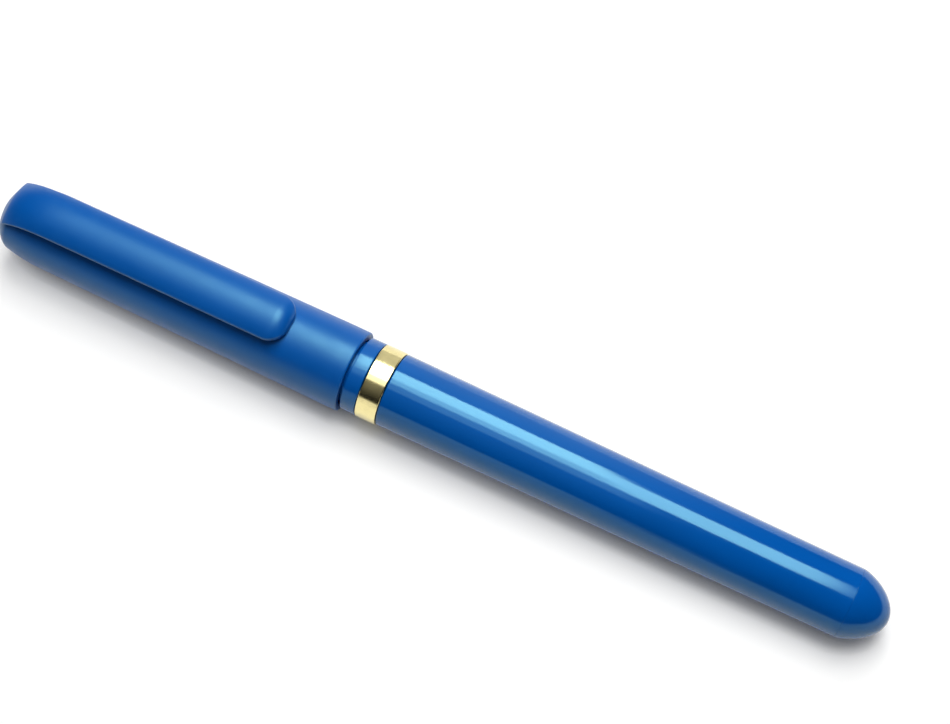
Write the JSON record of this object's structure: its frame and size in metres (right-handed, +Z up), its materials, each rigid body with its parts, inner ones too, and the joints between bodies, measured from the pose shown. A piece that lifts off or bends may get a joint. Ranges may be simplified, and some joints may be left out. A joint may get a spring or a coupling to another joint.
{
  "type": "felt-tip pen",
  "caption": "Capped felt-tip pen with a moulded pocket clip, a gold trim ring, a tapered barrel with a domed tail plug, and a fibre nib fed by an ink reservoir.",
  "frame": {"origin": "on the surface that the pen lies on, below the middle of its capped length", "axes": "+X along the pen from the cap to the tail, +Z up through the middle of the clip, so the pen lies with its clip on top"},
  "size_m": [0.14, 0.0122, 0.0144],
  "materials": {
    "cap_plastic": "satin moulded",
    "barrel_plastic": "gloss moulded",
    "section_plastic": "semi-gloss moulded",
    "gold_metal": "polished gold colour",
    "liner_plastic": "natural white moulded",
    "inked_fibre": "pressed fibre soaked in ink",
    "inked_wadding": "bundled fibre soaked in ink",
    "wrap_film": "thin film"
  },
  "bodies": {
    "pen": {"barrel": "barrel_plastic", "front_section": "section_plastic", "trim_ring": "gold_metal", "tail_plug": "barrel_plastic", "nib": "inked_fibre", "ink_reservoir": "inked_wadding", "reservoir_film": "wrap_film"},
    "cap": {"cap": "cap_plastic", "inner_cap": "liner_plastic"}
  },
  "joints": [
    {"name": "cap_slide", "type": "slide", "parent": "pen", "child": "cap", "axis": [-1, 0, 0], "range_m": [0, 0.06]}
  ]
}
